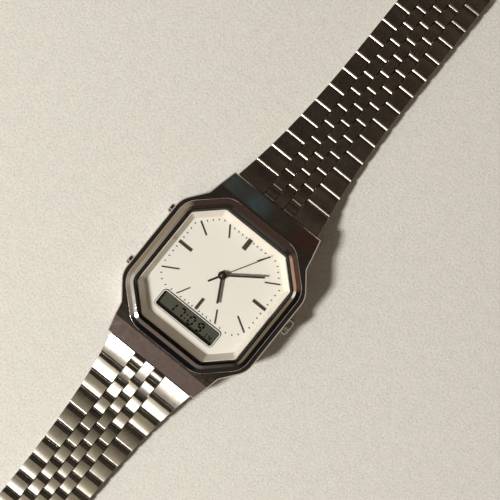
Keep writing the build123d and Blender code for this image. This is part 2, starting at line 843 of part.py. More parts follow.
def link_profile(near, far, lip=0):
    """A link seen from the side, about its pins' height: an arched top that curves down at both ends.
    With a lip, the top goes straight on past the near end instead."""
    bevel_z = link_above - link_bevel_drop
    near_high = (near - lip if lip else near + link_bevel_run, link_above)
    far_high = (far - link_bevel_run, link_above)
    middle = ((near_high[0] + far_high[0]) / 2, link_above + link_crown)
    top = ThreePointArc(near_high, middle, far_high)
    if lip:
        near_low = (near, link_above - first_row_lip)
        near_end = Polyline(near_high, (near - lip, link_above - first_row_lip), near_low)
    else:
        near_low = (near, bevel_z)
        near_end = TangentArc(near_high, near_low, tangent=-(top % 0))
    far_end = TangentArc(far_high, (far, bevel_z), tangent=top % 1)
    under = Polyline((far, bevel_z), (far, -link_below), (near, -link_below), near_low)
    face = make_face(near_end + top + far_end + under)
    return fillet(face.vertices().group_by(Axis.Y)[0], link_bottom_rounding)


def link(inner, outer_near, outer_far, bore_near, bore_far, lip=0):
    """One link about the middle of its length. Its outer side may slant as the bracelet narrows."""
    middle = (outer_near + outer_far) / 2
    flare = (outer_near - outer_far) / (2 * link_half)
    beyond = overrun if flare else 0
    widest = outer_near + flare * lip + beyond
    body = extrude(Plane.YZ.offset(inner) * link_profile(-link_half, link_half, lip), widest - inner)
    if flare:
        side = [(middle + flare * link_pitch, -link_pitch), (middle - flare * link_pitch, link_pitch)]
        back = [(inner - beyond, link_pitch), (inner - beyond, -link_pitch)]
        plan = make_face(Polyline(*side, *back, close=True))
        body &= extrude(Pos(0, 0, -link_pitch) * plan, 2 * link_pitch)
    sides = body.faces().sort_by(Axis.X)
    body = chamfer(sides[0].edges() + sides[-1].edges(), link_edge)
    for y, bore in ((-pin_spacing / 2, bore_near), (pin_spacing / 2, bore_far)):
        body -= rod(bore, inner - overrun, widest + overrun, y, 0)
    return body


def half_width(row):
    """Half the bracelet's width where a row ends: it flares towards the case."""
    left = max(0, 1 - row / flare_rows)
    return bracelet_half_width + (end_link_half_width - bracelet_half_width) * left**2


def row_pin(near, far, y):
    """A pin across the whole row, a little short of its slanted sides."""
    reach = (y + pin_radius + link_gap / 2 + (link_pitch - pin_spacing) / 2) / link_pitch
    half = near + (far - near) * reach - pin_inset
    return rod(pin_radius, -half, half, y, 0)


def row_places(rows):
    """Where each row's first pin lies and how far it tilts: the first rows slope to the table."""
    y = first_hinge_y
    z = bar_z
    places = []
    for row in range(rows + 1):
        fall = table_drop * drop_shares[row] if row < len(drop_shares) else 0
        tilt = math.asin(fall / link_pitch)
        places.append((y, z, math.degrees(tilt)))
        y += link_pitch * math.cos(tilt)
        z -= fall
    return places


@functools.cache
def row_solids(near, far, lip=0):
    """Five links and two pins, about the row's first pin, between two half widths of the bracelet."""
    tight = pin_radius + press_gap
    loose = pin_radius + running_gap
    first = Pos(0, pin_spacing / 2, 0)
    second = Pos(0, pin_spacing + pin_spacing / 2, 0)
    centre = first * link(-centre_half_width, centre_half_width, centre_half_width, tight, tight, lip)
    outer = first * link(outer_start, near, far, tight, tight, lip)
    inner = second * link(inner_start, inner_end, inner_end, tight, loose)
    mirrored = [mirror(side, Plane.YZ) for side in (outer, inner)]
    pins = [row_pin(near, far, 0), row_pin(near, far, pin_spacing)]
    return [centre, outer, inner] + mirrored + pins


def end_link():
    """A cross bar round the spring bar, with two short stubs that carry the first row and tilt with it."""
    round_end = link_above + link_crown
    corners = [
        (-round_end, -link_below),
        (cross_bar_reach, -link_below),
        (cross_bar_reach, link_above),
        (-round_end, link_above),
    ]
    bar_face = make_face(Polyline(*corners, close=True))
    bar_face = fillet(bar_face.vertices().group_by(Axis.X)[0], cross_bar_back)
    bar_face = fillet(bar_face.vertices().group_by(Axis.X)[-1], cross_bar_edge)
    body = extrude(Plane.YZ.offset(-end_link_half_width) * bar_face, 2 * end_link_half_width)
    width = inner_end - inner_start
    stub = extrude(Plane.YZ.offset(inner_start) * link_profile(-lip_end, link_half - pin_spacing / 2), width)
    stub = Pos(0, bar_reach, 0) * Rot(-math.degrees(first_tilt), 0, 0) * stub
    stub += extrude(Plane.YZ.offset(inner_start) * link_profile(-bar_tuck, bar_reach), width)
    stub -= rod(pin_radius + running_gap, 0, end_link_half_width, bar_reach, 0)
    body += stub
    body += mirror(stub, Plane.YZ)
    return body - rod(spring_bar_radius + running_gap, -case_width, case_width, 0, 0)


def ladder_plate():
    """A flat slotted plate with three knuckles on the last pin, about that pin."""
    start = knuckle_reach
    outline = RectangleRounded(2 * ladder_half_width, ladder_length - start, plate_rounding)
    plan = Pos(0, (start + ladder_length) / 2) * outline
    slots = 1 + int((ladder_length - start - 2 * slot_margin) / slot_pitch)
    for slot in range(slots):
        y = ladder_length - slot_margin - slot * slot_pitch
        plan -= Pos(0, y) * RectangleRounded(2 * slot_half_width, slot_length, slot_rounding)
    plate = extrude(Pos(0, 0, -link_below) * plan, ladder_thickness)
    foot = start + link_above
    knuckle = [(0, -link_below), (foot, -link_below), (foot, ladder_thickness - link_below), (0, link_above)]
    middle = (-centre_half_width, centre_half_width)
    for low, high in (middle, (outer_start, ladder_half_width), (-ladder_half_width, -outer_start)):
        plate += side_prism(knuckle, low, high) + rod(link_above, low, high)
    plate -= rod(pin_radius + press_gap, -ladder_half_width - overrun, ladder_half_width + overrun)
    return plate, rod(pin_radius, pin_inset - ladder_half_width, ladder_half_width - pin_inset)


def clasp_cover():
    """A shallow channel over the fold of the clasp, about the last pin of the bracelet."""
    low = -link_below
    high = low + cover_height
    shell = block((-cover_half_width, low, low), (cover_half_width, cover_length, high))
    top = shell.faces().sort_by(Axis.Z)[-1].edges()
    shell = fillet(top, cover_edge)
    inner = cover_half_width - cover_wall
    shell -= block((-inner, low - overrun, low - overrun), (inner, cover_length + overrun, high - cover_top))
    beyond = cover_half_width + overrun
    shell -= rod(pin_radius + press_gap, -beyond, beyond)
    return shell - rod(hook_pin_radius + press_gap, -beyond, beyond, hook_pin_y, 0)


def clasp_pins():
    """The cover's two pins and the two spacers on the first."""
    half = cover_half_width - pin_inset
    first = rod(pin_radius, -half, half)
    second = rod(hook_pin_radius, -half, half, hook_pin_y, 0)
    inner = cover_half_width - cover_wall - running_gap
    spacer = rod(spacer_radius, outer_start, inner) - rod(pin_radius + press_gap, 0, cover_half_width)
    return first, second, spacer, mirror(spacer, Plane.YZ)


def hook_plate():
    """The folding leaf inside the cover, with a turned-up hook at its free end."""
    knuckle_half = cover_half_width - cover_wall - hook_side_gap
    low = -hook_thickness / 2
    high = hook_thickness / 2
    free = hook_start
    leaf = block((-hook_half_width, free, low), (hook_half_width, hook_pin_y, high))
    leaf += block((-catch_half_width, free, low), (catch_half_width, free + hook_thickness, high + hook_lip))
    leaf += rod(hook_knuckle_radius, -knuckle_half, knuckle_half, hook_pin_y, 0)
    return leaf - rod(hook_pin_radius + running_gap, -cover_half_width, cover_half_width, hook_pin_y, 0)


def build():
    save("case_middle", case_middle())
    save("bezel_ring", bezel_ring())
    save("crystal", crystal())
    save("crystal_gasket", crystal_gasket())
    save("reflector_ring", reflector_ring())
    save("dial_plate", dial_plate())
    save("display_frame", display_frame())
    save("lcd_cell", lcd_cell())
    save("hour_markers", *hour_markers())
    save("movement_plate", movement_plate())
    save("circuit_board", *circuit_board())
    save("stepper_motor", *stepper_motor())
    save("battery_cell", battery_cell())
    save("battery_clamp", *battery_clamp())
    save("case_back", case_back())
    save("back_gasket", back_gasket())
    save("spring_bars", spring_bar(), Rot(0, 0, 180) * spring_bar())

    save("hour_wheel", hour_wheel())
    save("cannon_pinion", cannon_pinion())
    save("minute_wheel", minute_wheel())
    save("hour_hand", hour_hand())
    save("minute_hand", minute_hand())
    save("second_hand", second_hand(), second_arbor())

    save("crown", *crown())
    save("stem_yoke", stem_yoke())
    for name, y in (("upper_pusher", pusher_spacing), ("lower_pusher", -pusher_spacing)):
        save(name, *pusher(y))
        save(f"{name}_spring", pusher_spring(y))

    for side, rows, turn in (("upper", upper_rows, 0), ("lower", lower_rows, 180)):
        places = row_places(rows)
        save(f"{side}_end_link", Rot(0, 0, turn) * Pos(0, bar_y, bar_z) * end_link())
        for row, (y, z, tilt) in enumerate(places[:-1]):
            at = Rot(0, 0, turn) * Pos(0, y, z) * Rot(-tilt, 0, 0)
            solids = row_solids(half_width(row), half_width(row + 1), 0 if row else lip)
            save(f"{side}_row_{row + 1:02}", *[at * solid for solid in solids])
            print(f"{side} row {row + 1}: hinge at y {y:.3f}, z {z:.3f}, tilt {tilt:.2f}")
        y, z, tilt = places[-1]
        at = Rot(0, 0, turn) * Pos(0, y, z)
        print(f"{side} end: hinge at y {y:.3f}, z {z:.3f}")
        if side == "upper":
            save("ladder_plate", *[at * solid for solid in ladder_plate()])
        else:
            save("clasp_cover", at * clasp_cover())
            save("clasp_pins", *[at * solid for solid in clasp_pins()])
            save("hook_plate", at * hook_plate())
            print(f"hook hinge at y {y + hook_pin_y:.3f}, z {z:.3f}")


os.makedirs("parts", exist_ok=True)
build()
print(f"hands' axis x 0, y {axis_offset}; minute wheel x {centre_distance:.3f}; controls z {stem_z:.3f}")
print(f"spring bars y {bar_y:.3f}, z {bar_z:.3f}")
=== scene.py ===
import math

import bmesh
import bpy
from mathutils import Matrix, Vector


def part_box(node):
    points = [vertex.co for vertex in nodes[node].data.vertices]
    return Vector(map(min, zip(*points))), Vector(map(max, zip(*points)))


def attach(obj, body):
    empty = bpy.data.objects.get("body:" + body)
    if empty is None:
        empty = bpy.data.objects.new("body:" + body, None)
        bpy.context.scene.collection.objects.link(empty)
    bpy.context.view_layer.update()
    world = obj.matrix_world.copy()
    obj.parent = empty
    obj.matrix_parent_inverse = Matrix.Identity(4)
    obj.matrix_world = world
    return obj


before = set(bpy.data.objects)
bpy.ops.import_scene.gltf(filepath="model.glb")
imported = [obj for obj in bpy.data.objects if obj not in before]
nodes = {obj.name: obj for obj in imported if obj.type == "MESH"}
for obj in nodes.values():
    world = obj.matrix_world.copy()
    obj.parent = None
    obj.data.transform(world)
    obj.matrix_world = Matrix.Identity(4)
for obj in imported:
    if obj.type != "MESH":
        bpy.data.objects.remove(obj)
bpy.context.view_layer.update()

# Lengths are metres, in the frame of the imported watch: X to three o'clock, Y to twelve, Z up.
MM = 0.001
MM_PER_METRE = 1000

# The view: straight down from close above the table, turned so that twelve points up and right
CAMERA_X = 1.1 * MM
CAMERA_Y = 9.7 * MM
CAMERA_HEIGHT = 121.5 * MM
CAMERA_TURN = 38.9
CAMERA_LENS = 43.2
CAMERA_NEAR = 0.005
SENSOR_WIDTH = 36.0

# Light: one soft key from beyond six o'clock and nine o'clock, as the shadow beside the case shows
KEY_DIRECTION = Vector((-0.56, -0.96, 1.0))
KEY_DISTANCE = 0.8
KEY_SIZE = 0.136
KEY_POWER = 8.3
KEY_COLOUR = (1.0, 0.965, 0.915)

# The room that the metal mirrors: a dim colour all round, then soft patches on it. Each patch has
# the direction of its middle, its radius and the width of its soft edge in degrees, and its colour.
ROOM_COLOUR = (0.036, 0.030, 0.024)
ROOM_PATCHES = (
    ((0.0, -0.75, 0.66), 22, 16, (0.22, 0.17, 0.145)),
    ((0.0, -0.46, 0.89), 9, 7, (0.76, 0.66, 0.48)),
    ((0.0, 0.96, 0.28), 24, 12, (0.078, 0.046, 0.036)),
    ((-0.66, 0.62, 0.42), 16, 10, (0.085, 0.050, 0.040)),
    ((-0.94, 0.10, 0.32), 20, 14, (0.40, 0.32, 0.21)),
    ((0.0, -0.97, 0.24), 16, 8, (0.010, 0.010, 0.012)),
    ((0.97, 0.0, 0.24), 26, 12, (0.012, 0.010, 0.010)),
    ((0.70, 0.67, 0.25), 12, 8, (0.13, 0.075, 0.055)),
    ((0.0, 0.52, 0.85), 5, 3, (0.10, 0.09, 0.07)),
    ((-0.038, 0.64, 0.77), 0.5, 1.0, (0.075, 0.135, 0.15)),
    ((-0.092, 0.64, 0.77), 0.5, 0.9, (0.09, 0.12, 0.12)),
    ((0.064, 0.64, 0.77), 0.6, 1.0, (0.070, 0.020, 0.015)),
    ((0.72, -0.10, 0.69), 14, 8, (0.25, 0.20, 0.12)),
    ((0.54, 0.43, 0.72), 11, 7, (0.62, 0.40, 0.28)),
    ((0.66, 0.16, 0.73), 7, 5, (1.30, 1.15, 1.00)),
    ((-0.72, -0.50, 0.48), 22, 12, (0.78, 0.71, 0.61)),
)

# Floor
FLOOR_HALF = 4.0
FLOOR_COLOUR = (0.64, 0.636, 0.592)
FLOOR_RELIEF = 0.13 * MM

# Minute dots: a track with cut corners round the hands' axis, and the size of a dot on it
AXIS_Y = 2.5 * MM
DIAL_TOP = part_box("dial_plate")[1].z
TRACK_HALF_X = 10.42 * MM
TRACK_TOP = 8.59 * MM
TRACK_BOTTOM = 8.26 * MM
TRACK_TOP_CORNER = 3.7 * MM
TRACK_BOTTOM_CORNER = 2.15 * MM
DOT_LENGTH = 0.42 * MM
DOT_WIDTH = 0.25 * MM
DOT_HEIGHT = 0.02 * MM
DOT_SIDES = 8
MINUTES = 60
MINUTES_PER_MARKER = 5
DEGREES_PER_MINUTE = 6

# Display: digit sizes, and each digit's place along the window
CELL_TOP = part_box("lcd_cell")[1].z
DIGIT_HEIGHT = 2.15 * MM
DIGIT_WIDTH = 1.42 * MM
DIGIT_STROKE = 0.4 * MM
SMALL_DIGIT_HEIGHT = 1.2 * MM
SMALL_DIGIT_WIDTH = 0.85 * MM
SMALL_DIGIT_STROKE = 0.26 * MM
STROKE_GAP = 0.14
DIGIT_SLANT = 0.12
DIGIT_THICKNESS = 0.015 * MM
LARGE_DIGITS = (("1", -4.57 * MM), ("7", -2.56 * MM), ("0", 0.02 * MM), ("9", 2.11 * MM))
SMALL_DIGITS = (("1", 4.05 * MM), ("4", 5.2 * MM))
COLON_X = -0.45 * MM
COLON_RISE = 0.46 * MM
COLON_RADIUS = 0.17 * MM

# Which of the seven strokes each digit uses: top, upper right, lower right, bottom, lower left,
# upper left, middle
STROKES = {
    "0": (0, 1, 2, 3, 4, 5),
    "1": (1, 2),
    "4": (1, 2, 5, 6),
    "7": (0, 1, 2),
    "9": (0, 1, 2, 3, 5, 6),
}

# The pale line round the window
LINE_INSET = 0.1 * MM
LINE_CORNER = 0.62 * MM
LINE_WIDTH = 0.15 * MM
LINE_HEIGHT = 0.02 * MM
CORNER_STEPS = 6

# The arbor's cap: the radius and rise of each ring of its dome, the last one its tip
CAP_PROFILE = (
    (0.21 * MM, 0),
    (0.21 * MM, 0.03 * MM),
    (0.17 * MM, 0.07 * MM),
    (0.09 * MM, 0.10 * MM),
    (0, 0.11 * MM),
)
CAP_SIDES = 20

# The parts of a noise's range over which most changes run
WIDE = (0.3, 0.7)
MIDDLE = (0.35, 0.65)

GLASS_INDEX = 1.5
HAIRLINE_DEPTH = 0.0012 * MM


# Materials

class Surface:
    """A procedural material with helpers for its nodes, in the object's own coordinates in millimetres."""

    def __init__(self, name, colour, metallic, roughness):
        self.material = bpy.data.materials.new(name)
        self.material.use_nodes = True
        self.tree = self.material.node_tree
        self.shader = self.tree.nodes["Principled BSDF"]
        self.shader.inputs["Base Color"].default_value = (*colour, 1)
        self.shader.inputs["Metallic"].default_value = metallic
        self.shader.inputs["Roughness"].default_value = roughness
        self.colour = colour
        self.place = self.add("ShaderNodeTexCoord")

    def add(self, kind, **settings):
        node = self.tree.nodes.new(kind)
        for name, value in settings.items():
            setattr(node, name, value)
        return node

    def link(self, source, target):
        self.tree.links.new(source, target)

    def noise(self, scale, stretch=(1, 1, 1), detail=3.0, rough=0.5):
        """Noise of a scale per millimetre, drawn out by a stretch."""
        mapping = self.add("ShaderNodeMapping")
        mapping.inputs["Scale"].default_value = [MM_PER_METRE * s for s in stretch]
        self.link(self.place.outputs["Object"], mapping.inputs["Vector"])
        noise = self.add("ShaderNodeTexNoise")
        noise.inputs["Scale"].default_value = scale
        noise.inputs["Detail"].default_value = detail
        noise.inputs["Roughness"].default_value = rough
        self.link(mapping.outputs["Vector"], noise.inputs["Vector"])
        return noise.outputs["Fac"]

    def spread(self, value, span, target=(0, 1)):
        """A span of a value mapped to a target range, held at both ends."""
        node = self.add("ShaderNodeMapRange")
        numbers = (*span, *target)
        for name, number in zip(("From Min", "From Max", "To Min", "To Max"), numbers):
            node.inputs[name].default_value = number
        self.link(value, node.inputs["Value"])
        return node.outputs["Result"]

    def mix(self, value, first, second):
        """Two colours mixed by a value. Either may be a socket."""
        node = self.add("ShaderNodeMix", data_type="RGBA")
        self.link(value, node.inputs["Factor"])
        for colour, socket in ((first, node.inputs[6]), (second, node.inputs[7])):
            if isinstance(colour, tuple):
                socket.default_value = (*colour, 1)
            else:
                self.link(colour, socket)
        return node.outputs[2]

    def blend(self, value, span, first, second, most=1):
        """From a first colour to a second over a span of a value, up to a share of the second."""
        return self.mix(self.spread(value, span, (0, most)), first, second)

    def paint(self, socket):
        self.link(socket, self.shader.inputs["Base Color"])

    def polish(self, socket):
        self.link(socket, self.shader.inputs["Roughness"])

    def polish_about(self, value, roughness, least=0.8, most=1.3):
        """Roughness that follows a value, between two shares of a middle one."""
        self.polish(self.spread(value, WIDE, (roughness * least, roughness * most)))

    def bump(self, value, depth, strength, under=None):
        """Relief of a depth in metres, on top of another relief where one is given."""
        node = self.add("ShaderNodeBump")
        node.inputs["Distance"].default_value = depth
        node.inputs["Strength"].default_value = strength
        self.link(value, node.inputs["Height"])
        if under:
            self.link(under, node.inputs["Normal"])
        self.link(node.outputs["Normal"], self.shader.inputs["Normal"])
        return node.outputs["Normal"]

    def brush_across(self, direction, amount):
        """Spread the highlights along a direction of the object, which lies across the brushing."""
        turn = self.add(
            "ShaderNodeVectorTransform", vector_type="VECTOR", convert_from="OBJECT", convert_to="WORLD"
        )
        turn.inputs["Vector"].default_value = direction
        self.link(turn.outputs["Vector"], self.shader.inputs["Tangent"])
        self.shader.inputs["Anisotropic"].default_value = amount

    def upright(self):
        """How far the surface faces up out of the dial, from its own normal."""
        split = self.add("ShaderNodeSeparateXYZ")
        self.link(self.place.outputs["Normal"], split.inputs["Vector"])
        return split.outputs["Z"]

    def multiply(self, first, second):
        node = self.add("ShaderNodeMath", operation="MULTIPLY")
        self.link(first, node.inputs[0])
        self.link(second, node.inputs[1])
        return node.outputs["Value"]


def shade(colour, share):
    return tuple(share * c for c in colour)


def link_steel():
    """Brushed along the bracelet, so that light spreads across it, with polished sides and scratches."""
    rosy = (0.43, 0.395, 0.36)
    olive = (0.41, 0.40, 0.335)
    scratched = (0.70, 0.68, 0.63)
    surface = Surface("link_steel", (0.43, 0.405, 0.365), 1.0, 0.3)
    surface.brush_across((1, 0, 0), 0.95)
    grain = surface.noise(1.0, stretch=(14, 0.7, 14), detail=4.0, rough=0.65)
    cloud = surface.noise(0.32, detail=2.0)
    tint = surface.noise(0.25, stretch=(1.3, 0.8, 1), detail=2.0)
    nick = surface.noise(2.2, stretch=(2.4, 0.35, 1), detail=5.0, rough=0.75)
    warm = surface.blend(tint, MIDDLE, rosy, olive)
    tone = surface.blend(cloud, MIDDLE, shade(surface.colour, 0.78), warm)
    surface.paint(surface.blend(nick, (0.62, 0.70), tone, scratched, most=0.4))
    brushed = surface.spread(grain, WIDE, (0.18, 0.28))
    upper = surface.spread(surface.upright(), (0.35, 0.6))
    surface.polish(surface.multiply(brushed, surface.spread(upper, (0, 1), (0.5, 1))))
    scored = surface.bump(surface.multiply(grain, upper), depth=0.006 * MM, strength=0.8)
    surface.bump(surface.spread(nick, (0.62, 0.72)), depth=0.002 * MM, strength=0.5, under=scored)
    return surface.material


def polished_steel(name, colour, roughness, wear_and_glint, stain=None):
    """Mirror-bright steel with hairlines, haze and pits. Wear runs from 0 to 1 and also sets a painted
    glint, as the pits are painted brighter than the steel, and stain tints the haze.
    """
    hazed = stain or shade(colour, 0.93)
    # Painted glint: the pits' colour, brighter than the steel round them
    glinting_pit_colour = shade(colour, 1.45)
    surface = Surface(name, colour, 1.0, roughness)
    haze = surface.noise(0.75, detail=5.0, rough=0.7)
    hairline = surface.noise(1.6, stretch=(0.25, 3.5, 1), detail=5.0, rough=0.8)
    cross_hairline = surface.noise(1.9, stretch=(3.1, 0.3, 1), detail=5.0, rough=0.8)
    pit = surface.noise(7.0, detail=2.0)
    tone = surface.blend(haze, WIDE, hazed, colour)
    # The pits are real wear with a bump, and their brighter colour is a painted glint
    surface.paint(surface.blend(pit, (0.66, 0.74), tone, glinting_pit_colour, most=0.7 * wear_and_glint))
    surface.polish(surface.spread(haze, (0.3, 0.75), (roughness * 0.8, roughness * (1.2 + 0.7 * wear_and_glint))))
    first = surface.bump(surface.spread(hairline, (0.60, 0.72)), HAIRLINE_DEPTH, wear_and_glint)
    second = surface.bump(surface.spread(cross_hairline, (0.62, 0.74)), HAIRLINE_DEPTH, wear_and_glint, under=first)
    surface.bump(surface.spread(pit, (0.68, 0.78)), depth=0.002 * MM, strength=wear_and_glint, under=second)
    return surface.material


def brushed_steel(name, colour, stretch, roughness):
    surface = Surface(name, colour, 1.0, roughness)
    grain = surface.noise(1.0, stretch=stretch, detail=4.0, rough=0.6)
    surface.paint(surface.blend(grain, MIDDLE, shade(colour, 0.85), colour))
    surface.polish_about(grain, roughness)
    surface.bump(grain, depth=0.003 * MM, strength=0.6)
    return surface.material


def dial_paint():
    """Warm off-white with the finest grain and a faint cloudiness."""
    surface = Surface("dial_paint", (0.78, 0.766, 0.70), 0.0, 0.42)
    grain = surface.noise(9.0, detail=2.0)
    cloud = surface.noise(0.12, detail=2.0)
    tone = surface.blend(cloud, WIDE, shade(surface.colour, 0.95), surface.colour)
    surface.paint(surface.blend(grain, MIDDLE, tone, shade(surface.colour, 1.05)))
    surface.polish(surface.spread(grain, WIDE, (0.36, 0.5)))
    surface.bump(grain, depth=0.0008 * MM, strength=0.4)
    return surface.material


def lacquer(name, colour, roughness, metallic=0.35):
    surface = Surface(name, colour, metallic, roughness)
    grain = surface.noise(4.0)
    surface.paint(surface.blend(grain, WIDE, shade(colour, 0.8), shade(colour, 1.25)))
    surface.polish_about(grain, roughness)
    return surface.material


def plastic(name, colour, roughness):
    surface = Surface(name, colour, 0.0, roughness)
    grain = surface.noise(3.0, detail=4.0)
    surface.paint(surface.blend(grain, WIDE, shade(colour, 0.85), shade(colour, 1.1)))
    surface.polish_about(grain, roughness, least=0.85, most=1.2)
    surface.bump(grain, depth=0.004 * MM, strength=0.3)
    return surface.material


def metal(name, colour, roughness):
    surface = Surface(name, colour, 1.0, roughness)
    grain = surface.noise(2.0, stretch=(1, 1, 4))
    surface.paint(surface.blend(grain, WIDE, shade(colour, 0.88), colour))
    surface.polish_about(grain, roughness)
    return surface.material


def crystal_glass():
    """Clear flat glass: it only adds the mirror image that glass shows."""
    surface = Surface("crystal_glass", (1.0, 1.0, 1.0), 1.0, 0.015)
    fresnel = surface.add("ShaderNodeFresnel")
    fresnel.inputs["IOR"].default_value = GLASS_INDEX
    facing = surface.add("ShaderNodeNewGeometry")
    outside = surface.spread(facing.outputs["Backfacing"], (0, 1), (1, 0))
    surface.link(surface.multiply(fresnel.outputs["Fac"], outside), surface.shader.inputs["Alpha"])
    smear = surface.noise(0.25)
    surface.polish(surface.spread(smear, (0.4, 0.7), (0.01, 0.05)))
    return surface.material


def ring_paint():
    """Satin silver paint: white where the light falls on it, brown in the shade."""
    surface = Surface("ring_paint", (0.79, 0.745, 0.655), 0.15, 0.36)
    grain = surface.noise(6.0)
    surface.paint(surface.blend(grain, WIDE, shade(surface.colour, 0.92), surface.colour))
    surface.polish(surface.spread(grain, WIDE, (0.30, 0.42)))
    return surface.material


def display_glass():
    surface = Surface("display_glass", (0.078, 0.082, 0.060), 0.0, 0.25)
    cloud = surface.noise(0.3, detail=2.0)
    surface.paint(surface.blend(cloud, WIDE, shade(surface.colour, 0.85), surface.colour))
    return surface.material


def dress(material, *names):
    """Give a CAD node's surface a material, without touching its mesh."""
    for name in names:
        for slot in nodes[name].material_slots:
            slot.material = material


def dress_all():
    rows = [n for n in nodes if "_row_" in n]
    dress(link_steel(), "upper_end_link", "lower_end_link", *rows)
    case = polished_steel("case_steel", (0.63, 0.585, 0.545), 0.07, wear_and_glint=1.0, stain=(0.53, 0.475, 0.475))
    dress(case, "case_middle")
    dress(polished_steel("bezel_steel", (0.66, 0.63, 0.61), 0.045, wear_and_glint=0.25), "bezel_ring")
    dress(ring_paint(), "reflector_ring")
    control = polished_steel("control_steel", (0.64, 0.61, 0.58), 0.10, wear_and_glint=0.4)
    dress(control, "crown", "upper_pusher", "lower_pusher")
    dress(brushed_steel("back_steel", (0.60, 0.58, 0.55), (0.6, 12, 12), 0.30), "case_back")
    dress(brushed_steel("pin_steel", (0.58, 0.56, 0.53), (0.6, 9, 9), 0.28), "spring_bars", "clasp_pins")
    clasp = brushed_steel("clasp_steel", (0.60, 0.57, 0.53), (12, 0.6, 12), 0.27)
    dress(clasp, "clasp_cover", "ladder_plate", "hook_plate")
    dress(crystal_glass(), "crystal")
    dress(plastic("gasket", (0.02, 0.02, 0.02), 0.6), "crystal_gasket", "back_gasket")
    dress(dial_paint(), "dial_plate")
    dress(lacquer("marker", (0.075, 0.055, 0.045), 0.35), "hour_markers")
    dress(lacquer("hand", (0.05, 0.032, 0.028), 0.3), "hour_hand", "minute_hand")
    dress(lacquer("thin_hand", (0.012, 0.009, 0.008), 0.45, metallic=0.0), "second_hand")
    dress(lacquer("window_frame", (0.03, 0.028, 0.026), 0.25, metallic=0.0), "display_frame")
    dress(display_glass(), "lcd_cell")
    dress(plastic("movement", (0.12, 0.12, 0.125), 0.5), "movement_plate")
    dress(plastic("board", (0.03, 0.13, 0.05), 0.4), "circuit_board")
    dress(metal("motor", (0.70, 0.38, 0.20), 0.35), "stepper_motor")
    dress(metal("battery", (0.66, 0.65, 0.63), 0.22), "battery_cell")
    spring = metal("spring_steel", (0.55, 0.55, 0.54), 0.28)
    dress(spring, "battery_clamp", "stem_yoke", "upper_pusher_spring", "lower_pusher_spring")
    dress(metal("wheel", (0.78, 0.60, 0.28), 0.25), "hour_wheel", "cannon_pinion", "minute_wheel")


# Pieces that only the looks need

def new_piece(name, mesh_maker, body, material):
    mesh = bpy.data.meshes.new(name)
    maker = bmesh.new()
    mesh_maker(maker)
    bmesh.ops.recalc_face_normals(maker, faces=maker.faces)
    maker.to_mesh(mesh)
    maker.free()
    mesh.materials.append(material)
    piece = bpy.data.objects.new(name, mesh)
    bpy.context.scene.collection.objects.link(piece)
    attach(piece, body)


def oval(middle, along, across, sides):
    """Points round an oval, from its middle and its two half axes."""
    points = []
    for step in range(sides):
        turn = 2 * math.pi * step / sides
        point = middle + along * math.cos(turn) + across * math.sin(turn)
        points.append((point.x, point.y))
    return points


def walls(maker, lower, upper):
    """Faces between two closed rings of as many points."""
    count = len(lower)
    for i in range(count):
        j = (i + 1) % count
        maker.faces.new((lower[i], lower[j], upper[j], upper[i]))


def prism(maker, outline, low, height):
    """A closed prism over an outline."""
    bottom = [maker.verts.new((x, y, low)) for x, y in outline]
    top = [maker.verts.new((x, y, low + height)) for x, y in outline]
    maker.faces.new(bottom[::-1])
    maker.faces.new(top)
    walls(maker, bottom, top)


def track_point(minute):
    """Where a minute's dot lies on the track, a rectangle with cut corners, from the hands' axis."""
    angle = math.radians(DEGREES_PER_MINUTE * minute)
    x = math.sin(angle)
    y = math.cos(angle)
    half_y, corner_cut = (TRACK_TOP, TRACK_TOP_CORNER) if y > 0 else (TRACK_BOTTOM, TRACK_BOTTOM_CORNER)
    corner = (TRACK_HALF_X + half_y - corner_cut) / (abs(x) + abs(y))
    return Vector((x, y)) * min(TRACK_HALF_X / abs(x), half_y / abs(y), corner)


def minute_dots(maker):
    """A dot for each minute that has no hour marker."""
    for minute in range(MINUTES):
        if minute % MINUTES_PER_MARKER == 0:
            continue
        spot = track_point(minute)
        along = spot.normalized()
        across = Vector((-along.y, along.x))
        middle = spot + Vector((0, AXIS_Y))
        outline = oval(middle, along * DOT_LENGTH / 2, across * DOT_WIDTH / 2, DOT_SIDES)
        prism(maker, outline, DIAL_TOP, DOT_HEIGHT)


def stroke_outline(index, width, height, stroke):
    """One of the seven strokes: a bar with pointed ends, about the digit's lower left corner."""
    half = stroke / 2
    left = half
    right = width - half
    bottom = half
    middle = height / 2
    top = height - half
    ends = (
        ((left, top), (right, top)),
        ((right, middle), (right, top)),
        ((right, bottom), (right, middle)),
        ((left, bottom), (right, bottom)),
        ((left, bottom), (left, middle)),
        ((left, middle), (left, top)),
        ((left, middle), (right, middle)),
    )
    start, end = (Vector(point) for point in ends[index])
    along = (end - start).normalized()
    start = start + along * stroke * STROKE_GAP
    end = end - along * stroke * STROKE_GAP
    forward = along * half
    across = Vector((-along.y, along.x)) * half
    return [
        start,
        start + forward - across,
        end - forward - across,
        end,
        end - forward + across,
        start + forward + across,
    ]


def digits(maker):
    """The display's digits and the colon between them."""
    middle = (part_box("lcd_cell")[0].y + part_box("lcd_cell")[1].y) / 2
    base = middle - DIGIT_HEIGHT / 2
    sets = (
        (LARGE_DIGITS, DIGIT_WIDTH, DIGIT_HEIGHT, DIGIT_STROKE),
        (SMALL_DIGITS, SMALL_DIGIT_WIDTH, SMALL_DIGIT_HEIGHT, SMALL_DIGIT_STROKE),
    )
    for row, width, height, stroke in sets:
        for character, place in row:
            for index in STROKES[character]:
                outline = []
                for point in stroke_outline(index, width, height, stroke):
                    outline.append((place + point.x + DIGIT_SLANT * point.y, base + point.y))
                prism(maker, outline, CELL_TOP, DIGIT_THICKNESS)
    for side in (-1, 1):
        centre = Vector((COLON_X, middle + side * COLON_RISE))
        outline = oval(centre, Vector((COLON_RADIUS, 0)), Vector((0, COLON_RADIUS)), DOT_SIDES)
        prism(maker, outline, CELL_TOP, DIGIT_THICKNESS)


